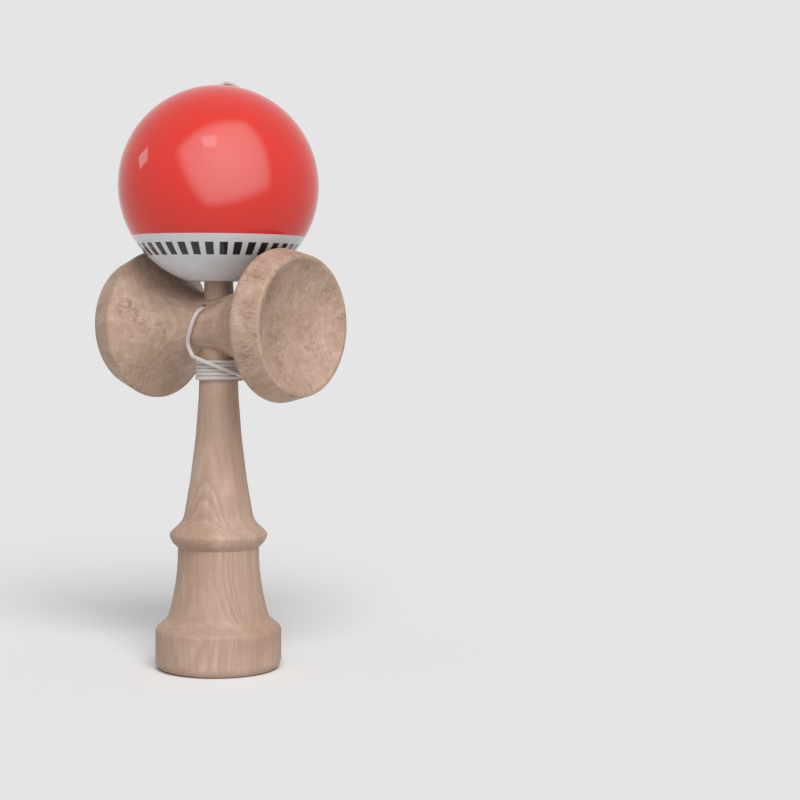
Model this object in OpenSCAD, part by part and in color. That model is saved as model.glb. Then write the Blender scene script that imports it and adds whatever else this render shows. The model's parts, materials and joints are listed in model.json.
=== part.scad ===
// Kendama: a turned ball (tama) on the spike of a turned handle (ken), which carries
// a cross-piece with two cups (sarado). A string ties the ball to the handle.
// X runs along the cross-piece, -Y is the front, Z is the axis of the handle.
// The origin is the middle of the base, on the surface that the toy stands on.

/* [Tama] */
// Diameter of the ball
tama_d = 60; // [56:0.5:68]
// Diameter of the spike hole
bore_d = 15.5; // [14:0.5:18]
// Width of the bevel round the mouth of the spike hole
mouth_bevel = 1.25; // [0.5:0.25:2.5]
// Depth of the spike hole from its mouth
bore_depth = 42; // [38:0.5:46]
// Diameter of the string hole in the top of the ball
top_hole_d = 4; // [3:0.1:5]
// Width of the chamfer round the string hole
top_hole_chamfer = 1; // [0.5:0.1:1.5]

/* [Sarado] */
// Length of the cross-piece from rim to rim
sarado_len = 65.5; // [60:0.5:74]
// Largest diameter, at the two shoulders that the ball rests on
shoulder_d = 46; // [42:0.5:50]
// Distance between the two shoulders
shoulder_span = 48; // [42:0.5:54]
// Diameter of the waist
waist_d = 17.5; // [15:0.5:22]
// Diameter of the rim of the big cup
big_rim_d = 41.5; // [38:0.5:44]
// Diameter of the rim of the small cup
small_rim_d = 39; // [34:0.5:42]
// Width of the flat lip round each cup
lip_w = 1.2; // [0.8:0.1:2.5]
// Radius of the dish in each cup
dish_r = 32; // [30:0.5:40]

/* [Ken] */
// Height of the axis of the cross-piece above the base
sarado_z = 104; // [98:0.5:112]
// Diameter of the shank under the cross-piece
shank_d = 11.2; // [9.5:0.1:12.5]
// Length of the spike above the axis of the cross-piece
spike_len = 36; // [28:0.5:38]
// Diameter of the spike at its round tip
tip_d = 6.2; // [5:0.1:7.5]
// Diameter of the handle where it meets the ring
handle_d = 21; // [18:0.5:25]
// Depth of the hollow in the side of the handle
handle_hollow = 1.2; // [0.4:0.1:2]
// Height of the top of the ring above the base
ring_top_z = 44.6; // [42:0.2:50]
// Diameter of the ring
ring_d = 29.6; // [27:0.2:34]
// Width of the flat ledge between the handle and the crowned top of the ring
ring_ledge = 0.4; // [0.2:0.1:1]
// Height of the crowned top of the ring
ring_top_h = 3.7; // [2.5:0.1:5]
// How far the top of the ring is crowned
ring_crown = 0.7; // [0.3:0.1:1.2]
// Height of the band round the ring
ring_band_h = 2; // [1:0.1:3]
// How far the band draws in at its lower edge
ring_draw = 0.5; // [0.2:0.1:1]
// Height of the slanted underside of the ring
ring_under_h = 2.1; // [1:0.1:3]
// Diameter of the neck under the ring
neck_d = 24.4; // [21:0.2:26]
// Depth of the hollow in the side of the base
base_hollow = 0.8; // [0.3:0.1:1.2]
// Diameter of the base where it meets the foot
base_d = 30.6; // [28:0.2:33]
// Diameter of the foot
foot_d = 38; // [35:0.5:42]
// Height of the straight side of the foot
foot_h = 12.5; // [9:0.5:15]
// Height of the slope from the foot to the base
foot_slope_h = 3; // [2:0.1:4.5]
// Radius of the rounded lower edge of the foot
foot_round = 3; // [2:0.1:4]
// Diameter of the base cup
base_cup_d = 29.6; // [26:0.2:30.6]
// Radius of the dish in the base cup
base_dish_r = 20; // [17:0.5:28]

/* [String] */
// Diameter of the string
string_d = 1.3; // [1:0.1:1.3]
// Height of the string hole above the axis of the cross-piece
hole_rise = 5; // [4.6:0.1:5.4]
// Height of the lowest turn of the winding above the base
winding_z = 86.6; // [86:0.1:86.8]
// Rise of the winding in one turn
winding_pitch = 1.75; // [1.74:0.01:1.8]
// Diameter of the bead
bead_d = 8; // [6:0.5:10]
// Diameter of the knots
knot_d = 4; // [3.4:0.1:4.4]
// Height of the knots
knot_h = 3; // [2.4:0.1:3.4]

/* [Fits] */
// Gap all round between the shank and the bore of the cross-piece
seat_clearance = 0.05; // [0.03:0.01:0.1]
// Gap between the ball and the shoulders that it rests on
rest_clearance = 0.3; // [0.2:0.05:0.5]
// Gap all round between the string and its holes
string_clearance = 0.4; // [0.3:0.05:0.6]
// Gap between the shank and the turns of the string
winding_clearance = 0.45; // [0.4:0.05:0.6]
// Gap between the turns and the strand that crosses them
crossing_clearance = 0.6; // [0.5:0.05:0.8]
// Gap between the bead and what it seats on
bead_clearance = 0.3; // [0.2:0.05:0.5]
// Gap round a knot in its recess
knot_clearance = 0.3; // [0.2:0.05:0.5]

/* [Hidden] */
$fn = 96;

beech = [0.76, 0.62, 0.49];
red_lacquer = [0.86, 0.2, 0.18];
bead_wood = [0.66, 0.5, 0.36];
string_white = [0.88, 0.85, 0.83];

// Overlap that lets two neighbouring outlines join or cut cleanly
weld = 0.1;
// Stock left beyond an arc, for the arc to cut away
spare = 0.7;
// How far a slanted edge runs on past its end, into the stock, as a share of its length
run_on = 0.5;
// Sides of the large circles whose short arcs hollow or crown an outline
arc_fn = 720;

tama_r = tama_d / 2;
bore_r = bore_d / 2;
mouth_r = bore_r + mouth_bevel;
top_hole_r = top_hole_d / 2;
shoulder_r = shoulder_d / 2;
shoulder_x = shoulder_span / 2;
waist_r = waist_d / 2;
shank_r = shank_d / 2;
tip_r = tip_d / 2;
string_r = string_d / 2;
bead_r = bead_d / 2;

// The ball rests on the two shoulders
tama_z = sarado_z + shoulder_r + sqrt(pow(tama_r + rest_clearance, 2) - pow(shoulder_x, 2));
mouth_z = tama_z - sqrt(pow(tama_r, 2) - pow(mouth_r, 2));
bore_top_z = mouth_z + bore_depth;

// The shank tapers evenly from the underside of the waist to the tip of the spike
seat_z = sarado_z - waist_r;
tip_z = sarado_z + spike_len;
taper_top_z = tip_z - tip_r;
function shank_radius(z) = shank_r + (tip_r - shank_r) * (z - seat_z) / (taper_top_z - seat_z);

// Bead and end knot hang inside the ball, under the roof of the spike hole
bead_z = bore_top_z - bead_clearance - bead_r;
end_knot_z = bead_z - bead_r - bead_clearance - knot_h;

// The string hole crosses the waist and the shank, and ends in the recess of the anchor knot
hole_z = sarado_z + hole_rise;
hole_r = string_r + string_clearance;
recess_r = knot_d / 2 + knot_clearance;
recess_y = 1;
anchor_y = recess_y + knot_clearance;

// The winding starts at the front left, crosses down over the turns as an outer strand,
// tucks in under them at the back and then climbs round the shank to the back again
turn_step = 15;
winding_sides = 6;
cord_sides = 8;
inner_r = shank_r + winding_clearance + string_r;
outer_r = inner_r + string_d + crossing_clearance;
cross_start = -115;
cross_end = 20;
tuck_end = 110;
climb_turns = 4;
leave_angle = 70;
climb_end = leave_angle + climb_turns * 360;
cross_top_z = 94;
// Above 1, the crossing strand falls steeply at first and then levels out
cross_fall = 1.3;

function climb_z(a) = winding_z + winding_pitch * (a - tuck_end) / 360;
function cross_share(a) = (cross_end - a) / (cross_end - cross_start);
cross_low_z = climb_z(cross_end);
function cross_z(a) = cross_low_z + (cross_top_z - cross_low_z) * pow(cross_share(a), cross_fall);
function tuck_r(a) = (inner_r + outer_r) / 2
    + (outer_r - inner_r) / 2 * cos(180 * (a - cross_end) / (tuck_end - cross_end));
function winding_radius(a) = a < cross_end ? outer_r : a < tuck_end ? tuck_r(a) : inner_r;
function winding_height(a) = a < cross_end ? cross_z(a) : climb_z(a);
function winding_point(a) = [winding_radius(a) * cos(a), winding_radius(a) * sin(a), winding_height(a)];
winding_turns = [for (a = [cross_start : turn_step : climb_end]) winding_point(a)];

// Both ends of the winding run straight on for one diameter
start_dir = unit(winding_turns[1] - winding_turns[0]);
end_dir = unit(winding_turns[len(winding_turns) - 1] - winding_turns[len(winding_turns) - 2]);
winding_start = winding_turns[0] - start_dir * string_d;
winding_finish = winding_turns[len(winding_turns) - 1] + end_dir * string_d;
winding_route = concat([winding_start], winding_turns, [winding_finish]);

// The loop leaves the waist at the front, hangs to the left and runs into the winding
loop_points = [
    [0, -3, hole_z], [0, -7.6, hole_z], [-0.4, -9.3, 107.9], [-1.2, -10, 105.6], [-2.4, -10, 102.9],
    [-3.8, -9.4, 100.2], [-5, -8.6, 98.2]
];
loop_route = concat([[0, anchor_y, hole_z]], loop_points,
    [winding_start - start_dir * string_d, winding_start]);

// The riser climbs behind the waist and over the back of the ball to the hole in its top
riser_points = [
    [-1.8, 8, 94.3], [-2.9, 9, 96], [-3.2, 9.8, 98.4], [-3, 10.3, 101.2], [-2.6, 10.5, 104],
    [-2.2, 11.1, 107], [-1.9, 12.9, 109.7], [-1.6, 14.8, 112.5], [-1.3, 16.7, 115.2], [-1, 18.6, 118],
    [-0.7, 20.5, 120.7], [-0.4, 22.4, 123.5], [-0.2, 24.5, 126.2], [0, 26.4, 129], [0, 28.1, 132.2],
    [0, 29.5, 135.6], [0, 30.4, 139], [0, 31, 142.6], [0, 31.1, 146.2], [0, 30.8, 149.8],
    [0, 30.1, 153.4], [0, 29, 156.8], [0, 27.4, 160.2], [0, 25.5, 163.3], [0, 23.2, 166.2],
    [0, 20.6, 168.8], [0, 17.7, 171.1], [0, 14.5, 173], [0, 11.1, 174.6], [0, 7.8, 175.7],
    [0, 4.9, 176.3], [0, 3.2, 176.4], [0, 1.6, 176], [0, 0.5, 174.8], [0, 0, 173.2], [0, 0, 171.6]
];
riser_route = concat([winding_finish, winding_finish + end_dir * string_d], riser_points);
tail_top_z = riser_points[len(riser_points) - 1][2];

function unit(v) = v / norm(v);
function tangent(path, i) = unit(path[min(i + 1, len(path) - 1)] - path[max(i - 1, 0)]);
// A side direction carried along the path without twist
function carried(side, t) = unit(side - (side * t) * t);
function first_side(t) = carried(abs(t[2]) < 0.9 ? [0, 0, 1] : [1, 0, 0], t);
function sides_along(path) = [
    for (i = 0, s = first_side(tangent(path, 0));
        i < len(path);
        i = i + 1, s = carried(s, tangent(path, i))) s
];

// Least gap between strands of a path that lie more than half a turn apart along it
half_turn = 180 / turn_step;
function least_gap(path, d) = min([
    for (i = [0 : len(path) - 1]) for (j = [i + half_turn : 1 : len(path) - 1]) norm(path[i] - path[j])
]) - d;
echo(least_gap_in_winding_mm = least_gap(winding_route, string_d));

// Closed round tube along a path
module tube(path, d, sides) {
    across = sides_along(path);
    rings = len(path);
    points = [
        for (i = [0 : rings - 1], k = [0 : sides - 1])
            let (t = tangent(path, i), a = 360 * k / sides)
            path[i] + d / 2 * (cos(a) * across[i] + sin(a) * cross(t, across[i]))
    ];
    wall = [
        for (i = [0 : rings - 2], k = [0 : sides - 1])
            let (p = i * sides + k, q = i * sides + (k + 1) % sides)
            each [[p, p + sides, q], [q, p + sides, q + sides]]
    ];
    last = (rings - 1) * sides;
    ends = [
        for (k = [1 : sides - 2])
            each [[0, k, k + 1], [last, last + k + 1, last + k]]
    ];
    polyhedron(points, concat(wall, ends));
}

// Disc whose edge runs through p and q, and stands s off the line between them, on its left
module arc_disc(p, q, s) {
    chord = q - p;
    r = (chord * chord / 4 + s * s) / (2 * s);
    left = unit([-chord[1], chord[0]]);
    translate((p + q) / 2 + left * (s - r)) circle(r, $fn = arc_fn);
}

// Point past q on the line from p to q
function past(p, q) = q + (q - p) * run_on;

// Half outline of the ken, radius along X and height along Y
module ken_outline() {
    foot_r = foot_d / 2;
    ring_r = ring_d / 2;
    handle_r = handle_d / 2;
    band_top_z = ring_top_z - ring_top_h;
    band_low_z = band_top_z - ring_band_h;
    foot_top = [foot_r, foot_h];
    base_low = [base_d / 2, foot_h + foot_slope_h];
    neck = [neck_d / 2, band_low_z - ring_under_h];
    band_low = [ring_r - ring_draw, band_low_z];
    band_top = [ring_r, band_top_z];
    crown_top = [handle_r + ring_ledge, ring_top_z];
    handle_low = [handle_r, ring_top_z];
    seat = [shank_r, seat_z];
    slope_end = past(foot_top, base_low);
    under_end = past(band_low, neck);
    band_end = past(band_low, band_top);
    seat_stock_z = seat_z - spare;

    // Foot
    square([foot_r - foot_round, foot_h]);
    translate([foot_r - foot_round, foot_round]) circle(foot_round);
    polygon([[0, foot_round], [foot_r, foot_round], foot_top, slope_end, [0, slope_end[1]]]);
    // Base
    difference() {
        translate([0, foot_round]) square([base_low[0] + spare, band_low_z - foot_round]);
        arc_disc(base_low, neck, base_hollow);
    }
    // Ring
    difference() {
        polygon([[0, under_end[1]], under_end, band_low, band_end, [band_end[0], ring_top_z],
            [0, ring_top_z]]);
        difference() {
            translate([crown_top[0] - spare, band_top_z - spare]) square(ring_r);
            arc_disc(crown_top, band_top, ring_crown);
        }
    }
    // Handle and shank
    difference() {
        polygon([[0, band_top_z], [handle_r + spare, band_top_z], [handle_r + spare, seat_stock_z],
            [shank_radius(seat_stock_z), seat_stock_z], [tip_r, taper_top_z], [0, taper_top_z]]);
        arc_disc(handle_low, seat, handle_hollow);
    }
}

module ken() {
    base_cup_r = base_cup_d / 2;
    color(beech)
        difference() {
            union() {
                rotate_extrude() ken_outline();
                translate([0, 0, taper_top_z]) sphere(tip_r);
            }
            translate([0, 0, -sqrt(pow(base_dish_r, 2) - pow(base_cup_r, 2))]) sphere(base_dish_r);
            translate([0, recess_y, hole_z]) rotate([-90, 0, 0]) cylinder(r = recess_r, h = shank_d);
            translate([0, recess_y + weld, hole_z]) rotate([90, 0, 0]) cylinder(r = hole_r, h = shank_d);
        }
}

// Half outline of the sarado, radius along X and length along Y
module sarado_outline() {
    rim_x = sarado_len / 2;
    small_rim = [small_rim_d / 2, -rim_x];
    big_rim = [big_rim_d / 2, rim_x];
    small_shoulder = [shoulder_r, -shoulder_x];
    big_shoulder = [shoulder_r, shoulder_x];
    difference() {
        polygon([[0, -rim_x], small_rim, past(small_rim, small_shoulder), past(big_rim, big_shoulder),
            big_rim, [0, rim_x]]);
        arc_disc(small_shoulder, big_shoulder, shoulder_r - waist_r);
    }
}

// Ball that hollows one cup, with its mouth lip_w inside the rim
module dish(rim_d, side) {
    cup_r = rim_d / 2 - lip_w;
    translate([side * (sarado_len / 2 + sqrt(pow(dish_r, 2) - pow(cup_r, 2))), 0, 0]) sphere(dish_r);
}

module sarado() {
    bore_low_z = sarado_z - shoulder_r;
    bore_high_z = sarado_z + shoulder_r;
    color(beech)
        difference() {
            translate([0, 0, sarado_z])
                difference() {
                    rotate([0, 90, 0]) rotate_extrude() sarado_outline();
                    dish(big_rim_d, 1);
                    dish(small_rim_d, -1);
                }
            translate([0, 0, bore_low_z])
                cylinder(r1 = shank_radius(bore_low_z) + seat_clearance,
                    r2 = shank_radius(bore_high_z) + seat_clearance, h = bore_high_z - bore_low_z);
            translate([0, 0, hole_z]) rotate([90, 0, 0]) cylinder(r = hole_r, h = waist_d);
        }
}

module tama() {
    color(red_lacquer)
        difference() {
            translate([0, 0, tama_z]) sphere(tama_r);
            translate([0, 0, mouth_z - tama_r]) cylinder(r = mouth_r, h = tama_r);
            translate([0, 0, mouth_z]) cylinder(r1 = mouth_r, r2 = bore_r, h = mouth_bevel);
            translate([0, 0, mouth_z]) cylinder(r = bore_r, h = bore_depth);
            translate([0, 0, tama_z]) cylinder(r = top_hole_r, h = tama_d);
            translate([0, 0, tama_z + tama_r - top_hole_chamfer])
                cylinder(r1 = top_hole_r, r2 = top_hole_r + top_hole_chamfer, h = top_hole_chamfer);
        }
}

module bead() {
    color(bead_wood)
        translate([0, 0, bead_z])
            difference() {
                sphere(bead_r);
                cylinder(r = hole_r, h = 2 * bead_d, center = true);
            }
}

// Knot of two rounded turns, standing on its flat end
module knot() {
    turn_r = knot_h / 4;
    turn_x = knot_d / 2 - turn_r;
    color(string_white)
        rotate_extrude() {
            square([turn_x, knot_h]);
            translate([turn_x, turn_r]) circle(turn_r);
            translate([turn_x, knot_h - turn_r]) circle(turn_r);
        }
}

module anchor_knot() {
    translate([0, anchor_y, hole_z]) rotate([-90, 0, 0]) knot();
}

module end_knot() {
    translate([0, 0, end_knot_z]) knot();
}

module string_loop() {
    color(string_white) tube(loop_route, string_d, cord_sides);
}

module string_winding() {
    color(string_white) tube(winding_route, string_d, winding_sides);
}

module string_riser() {
    color(string_white) tube(riser_route, string_d, cord_sides);
}

module string_tail() {
    tail_low_z = end_knot_z + knot_h;
    color(string_white)
        translate([0, 0, tail_low_z]) cylinder(r = string_r, h = tail_top_z - tail_low_z);
}

ken();
sarado();
tama();
bead();
anchor_knot();
end_knot();
string_loop();
string_winding();
string_riser();
string_tail();
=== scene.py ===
"""Kendama: a lacquered ball on the spike of a turned beech handle with two cups, and a wound string."""

import json
import math

import bmesh
import bpy
from mathutils import Matrix, Vector
from mathutils.geometry import interpolate_bezier

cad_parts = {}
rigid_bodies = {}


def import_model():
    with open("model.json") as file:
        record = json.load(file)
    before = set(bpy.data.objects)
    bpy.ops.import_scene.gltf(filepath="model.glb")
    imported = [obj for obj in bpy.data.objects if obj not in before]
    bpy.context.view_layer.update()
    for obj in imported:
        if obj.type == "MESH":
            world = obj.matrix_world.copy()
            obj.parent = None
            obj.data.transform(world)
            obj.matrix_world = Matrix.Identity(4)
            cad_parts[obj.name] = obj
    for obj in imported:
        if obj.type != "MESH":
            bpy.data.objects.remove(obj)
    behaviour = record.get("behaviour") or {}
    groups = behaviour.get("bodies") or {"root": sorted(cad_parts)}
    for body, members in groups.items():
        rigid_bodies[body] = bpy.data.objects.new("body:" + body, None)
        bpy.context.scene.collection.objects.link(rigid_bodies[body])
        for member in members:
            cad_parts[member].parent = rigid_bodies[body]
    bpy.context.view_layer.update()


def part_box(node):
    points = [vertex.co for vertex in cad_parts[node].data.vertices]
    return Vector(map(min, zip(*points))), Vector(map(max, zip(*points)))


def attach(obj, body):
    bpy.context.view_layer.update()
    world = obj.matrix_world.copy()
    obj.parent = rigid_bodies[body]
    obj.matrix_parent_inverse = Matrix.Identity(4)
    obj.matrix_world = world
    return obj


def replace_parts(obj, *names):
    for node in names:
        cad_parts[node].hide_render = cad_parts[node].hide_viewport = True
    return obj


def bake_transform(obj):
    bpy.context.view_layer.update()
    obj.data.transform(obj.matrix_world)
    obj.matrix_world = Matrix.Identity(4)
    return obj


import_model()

bl_info = {
    "name": "Kendama",
    "version": (1, 0, 0),
    "blender": (4, 5, 0),
    "location": "3D View > Sidebar > Kendama",
    "description": "Dresses the parts of a kendama with turned wood, lacquer and braided string",
    "category": "Object",
}

MM = 0.001


def linear(code):
    """Scene-linear colour of an sRGB hex code."""
    shares = [int(code[i:i + 2], 16) / 255 for i in (0, 2, 4)]
    return [c / 12.92 if c <= 0.04045 else ((c + 0.055) / 1.055) ** 2.4 for c in shares]


# Sizes in metres: from the frame where it shows them, and otherwise as in the part. Only the ring is
# softer here: its crown is flatter, and the handle runs into it without a ledge
KEN_LOW, KEN_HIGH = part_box("ken")
SARADO_LOW, SARADO_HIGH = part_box("sarado")
TAMA_LOW, TAMA_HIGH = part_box("tama")
BEAD_LOW, BEAD_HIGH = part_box("bead")
END_KNOT_LOW, END_KNOT_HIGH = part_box("end_knot")
ANCHOR_LOW, ANCHOR_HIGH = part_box("anchor_knot")

SARADO_Z = (SARADO_LOW.z + SARADO_HIGH.z) / 2
SHOULDER_R = SARADO_HIGH.y
SHOULDER_X = 24 * MM
RIM_X = SARADO_HIGH.x
WAIST_R = 8.75 * MM
BIG_RIM_R = 20.75 * MM
SMALL_RIM_R = 19.5 * MM
LIP_W = 1.2 * MM
DISH_R = 32 * MM
SEAT_GAP = 0.05 * MM

TIP_R = 3.1 * MM
TAPER_TOP_Z = KEN_HIGH.z - TIP_R
SHANK_R = 5.6 * MM
SEAT_Z = SARADO_Z - WAIST_R
HANDLE_R = 10.7 * MM
HANDLE_HOLLOW = 1.2 * MM
RING_TOP_Z = 44.6 * MM
RING_R = 14.8 * MM
RING_TOP_H = 3.7 * MM
RING_CROWN = 0.25 * MM
RING_BAND_H = 2 * MM
RING_DRAW = 0.5 * MM
RING_UNDER_H = 2.1 * MM
NECK_R = 12.2 * MM
BASE_HOLLOW = 0.8 * MM
BASE_R = 15.3 * MM
FOOT_R = KEN_HIGH.x
FOOT_H = 12.5 * MM
FOOT_SLOPE_H = 3 * MM
FOOT_ROUND = 3 * MM
BASE_CUP_R = 14.8 * MM
BASE_DISH_R = 20 * MM

TAMA_R = TAMA_HIGH.x
MOUTH_R = 9 * MM
MOUTH_Z = TAMA_LOW.z
TAMA_Z = MOUTH_Z + math.sqrt(TAMA_R ** 2 - MOUTH_R ** 2)
BORE_R = 7.75 * MM
BORE_TOP_Z = MOUTH_Z + 42 * MM
TOP_HOLE_R = 2 * MM
TOP_CHAMFER = 1 * MM

HOLE_Z = SARADO_Z + 5 * MM
HOLE_R = 1.05 * MM
RECESS_R = 2.3 * MM
RECESS_Y = 1 * MM

# Route of the string, in millimetres, as in the part
LOOP_POINTS = [
    (0, -3, 109), (0, -7.6, 109), (-0.4, -9.3, 107.9), (-1.2, -10, 105.6), (-2.4, -10, 102.9),
    (-3.8, -9.4, 100.2), (-5, -8.6, 98.2),
]
# From the winding up behind the ball and into its top
RISER_POINTS = [
    (-1.8, 8, 94.3), (-2.9, 9, 96), (-3.2, 9.8, 98.4), (-3, 10.3, 101.2), (-2.6, 10.5, 104),
    (-2.2, 11.1, 107), (-1.9, 12.9, 109.7), (-1.6, 14.8, 112.5), (-1.3, 16.7, 115.2), (-1, 18.6, 118),
    (-0.7, 20.5, 120.7), (-0.4, 22.4, 123.5), (-0.2, 24.5, 126.2), (0, 26.4, 129), (0, 28.1, 132.2),
    (0, 29.5, 135.6), (0, 30.4, 139), (0, 31, 142.6), (0, 31.1, 146.2), (0, 30.8, 149.8),
    (0, 30.1, 153.4), (0, 29, 156.8), (0, 27.4, 160.2), (0, 25.5, 163.3), (0, 23.2, 166.2),
    (0, 20.6, 168.8), (0, 17.7, 171.1), (0, 14.5, 173), (0, 11.1, 174.6), (0, 7.8, 175.7),
    (0, 4.9, 176.3), (0, 3.2, 176.4), (0, 1.6, 176), (0, 0.5, 174.8), (0, 0, 173.2), (0, 0, 171.6),
]
# Heights on its straight end inside the ball
TAIL_HEIGHTS = (166, 160, 155)
# Angles round the handle, in degrees: the strand that crosses the turns runs from the first to the
# second, is tucked in under them by the third, and the last turn leaves for the ball at the fourth
CROSS_START = -115
CROSS_END = 20
TUCK_END = 110
LEAVE = 70
TURN_STEP = 15
# The turns lie closer than in the part, so the crossing strand starts a little higher and falls more evenly
CROSS_TOP_Z = 94.8 * MM
CROSS_FALL = 1.1
# How much further out than on the turns the crossing strand starts, in steps of one strand
START_LIFT = 0.8
# Share of its thickness by which a strand is lifted where it lies over another
NEST = 0.96


class KendamaString(bpy.types.PropertyGroup):
    """The braided string."""

    diameter: bpy.props.FloatProperty(
        name="Diameter", description="Thickness of the string", default=1.3 * MM, unit="LENGTH")
    turns: bpy.props.IntProperty(
        name="Turns", description="Full turns of the winding round the handle", default=5, min=3, max=6)
    low_turn: bpy.props.FloatProperty(
        name="Lowest turn", description="Height of the lowest turn", default=87.6 * MM, unit="LENGTH")
    pitch: bpy.props.FloatProperty(
        name="Pitch", description="Rise of the winding in one turn", default=1.17 * MM, unit="LENGTH")
    pick: bpy.props.FloatProperty(
        name="Pick", description="Length of one repeat of the braid", default=1.8 * MM, unit="LENGTH")
    colour: bpy.props.FloatVectorProperty(
        name="Colour", description="Colour of the yarn", subtype="COLOR", default=linear("D6CDC9"))


class KendamaWood(bpy.types.PropertyGroup):
    """The bare beech of the handle and the cross-piece, and the stained bead."""

    light: bpy.props.FloatVectorProperty(
        name="Early wood", description="Colour between the ring lines", subtype="COLOR",
        default=linear("BEA594"))
    dark: bpy.props.FloatVectorProperty(
        name="Late wood", description="Colour of the ring lines", subtype="COLOR", default=linear("9C7C66"))
    fleck: bpy.props.FloatVectorProperty(
        name="Flecks", description="Colour of the ray flecks and the specks", subtype="COLOR",
        default=linear("785B47"))
    bead_light: bpy.props.FloatVectorProperty(
        name="Bead", description="Colour of the stained bead", subtype="COLOR", default=linear("A97C56"))
    bead_dark: bpy.props.FloatVectorProperty(
        name="Bead rings", description="Colour of the bead's ring lines", subtype="COLOR",
        default=linear("7E5637"))
    edge: bpy.props.FloatProperty(
        name="Sanded edge", description="How far from a corner the sanding starts to round it",
        default=0.5 * MM, unit="LENGTH")


class KendamaLacquer(bpy.types.PropertyGroup):
    """The coats of lacquer on the ball."""

    red: bpy.props.FloatVectorProperty(
        name="Red", description="Colour of the upper coat", subtype="COLOR", default=linear("D62B1F"))
    white: bpy.props.FloatVectorProperty(
        name="White", description="Colour of the lower coat", subtype="COLOR", default=linear("CFD0D3"))
    black: bpy.props.FloatVectorProperty(
        name="Black", description="Colour of the tracking bars", subtype="COLOR", default=linear("201F1F"))
    red_drop: bpy.props.FloatProperty(
        name="Paint line", description="How far below the middle of the ball the red stops",
        default=15 * MM, unit="LENGTH")
    bar_drop: bpy.props.FloatProperty(
        name="Bar line", description="How far below the middle of the ball the bars are centred",
        default=19.2 * MM, unit="LENGTH")
    bar_height: bpy.props.FloatProperty(
        name="Bar height", description="Height of the bars", default=3.6 * MM, unit="LENGTH")
    bars: bpy.props.IntProperty(
        name="Bars", description="Number of bars round the ball", default=36, min=1, max=90)


class KendamaStage(bpy.types.PropertyGroup):
    """Camera, floor and light."""

    azimuth: bpy.props.FloatProperty(
        name="Azimuth", description="Angle of the camera round the toy", default=math.radians(41.57),
        subtype="ANGLE")
    distance: bpy.props.FloatProperty(
        name="Distance", description="Level distance from the camera to the handle", default=0.5585,
        unit="LENGTH")
    height: bpy.props.FloatProperty(
        name="Height", description="Height of the camera above the floor", default=0.1097, unit="LENGTH")
    pan: bpy.props.FloatProperty(
        name="Pan", description="How far the camera turns to the right of the toy",
        default=math.radians(5.6), subtype="ANGLE")
    tilt: bpy.props.FloatProperty(
        name="Tilt", description="How far the camera looks down", default=math.radians(2.89),
        subtype="ANGLE")
    roll: bpy.props.FloatProperty(
        name="Roll", description="How far the camera leans", default=math.radians(-0.33),
        subtype="ANGLE")
    lens: bpy.props.FloatProperty(
        name="Focal length", description="Focal length of the lens in millimetres", default=83.07)
    sky: bpy.props.FloatProperty(
        name="Sky", description="Strength of the even light from all round", default=0.33)
    sun: bpy.props.FloatProperty(
        name="Key light", description="Strength of the soft light from the front", default=2.7)
    floor: bpy.props.FloatVectorProperty(
        name="Floor", description="Colour of the floor", subtype="COLOR", default=linear("EEEEEE"))


class KendamaSettings(bpy.types.PropertyGroup):
    """All settings of the toy."""

    string: bpy.props.PointerProperty(type=KendamaString)
    wood: bpy.props.PointerProperty(type=KendamaWood)
    lacquer: bpy.props.PointerProperty(type=KendamaLacquer)
    stage: bpy.props.PointerProperty(type=KendamaStage)


# Meshes

LATHE_STEPS = 160
EASE_STEPS = 5
ARC_STEP = math.radians(3)
ON_AXIS = 0.001 * MM
SHARP = math.radians(40)


def bow(p, q, radius):
    """How far an arc of that radius from p to q stands off the line between them."""
    half = math.dist(p[:2], q[:2]) / 2
    return radius - math.sqrt(radius ** 2 - half ** 2)


def arc(p, q, rise):
    """Points from p to q along the arc that stands rise off the line between them, on its left."""
    if rise == 0:
        return [p, q]
    chord = q - p
    radius = (chord.length_squared / 4 + rise ** 2) / (2 * rise)
    left = Vector((-chord.y, chord.x)).normalized()
    centre = (p + q) / 2 + left * (rise - radius)
    start = p - centre
    sweep = -start.angle_signed(q - centre)
    steps = math.ceil(abs(sweep) / ARC_STEP)
    return [centre + Matrix.Rotation(sweep * i / steps, 2) @ start for i in range(steps + 1)]


def shortened(points, length):
    """The points without the last stretch of that length."""
    kept = list(points)
    while length > 0:
        end = kept.pop()
        step = (end - kept[-1]).length
        if step > length:
            kept.append(end.lerp(kept[-1], length / step))
        length -= step
    return kept


def outline(corners, closed=False):
    """Half outline through corners of (radius, height, ease, rise): the corner is rounded from its ease
    on, and the edge after it is an arc that stands rise off its line, on its left."""
    spots = [Vector(corner[:2]) for corner in corners]
    following = list(zip(corners, spots, corners[1:] + corners[:1], spots[1:] + spots[:1]))
    edges = []
    for corner, spot, next_corner, next_spot in following if closed else following[:-1]:
        edge = shortened(arc(spot, next_spot, corner[3]), next_corner[2])
        edges.append(shortened(edge[::-1], corner[2])[::-1])
    points = []
    for i, edge in enumerate(edges):
        points += edge
        j = (i + 1) % len(corners)
        if corners[j][2] > 0:
            start, end = edge[-1], edges[j][0]
            for k in range(1, EASE_STEPS):
                share = k / EASE_STEPS
                points.append(start.lerp(spots[j], share).lerp(spots[j].lerp(end, share), share))
    return points[:1] + [p for before, p in zip(points, points[1:]) if (p - before).length > ON_AXIS]


def radius_at(points, height):
    """Radius of a half outline at a height, on the highest stretch that passes it."""
    for low, high in reversed(list(zip(points, points[1:]))):
        if low.y <= height <= high.y:
            return low.lerp(high, (height - low.y) / (high.y - low.y)).x
    raise ValueError(f"the outline doesn't pass the height {height}")


def link(name, mesh):
    """A new object of the mesh, in the scene."""
    made = bpy.data.objects.new(name, mesh)
    bpy.context.scene.collection.objects.link(made)
    return made


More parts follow.
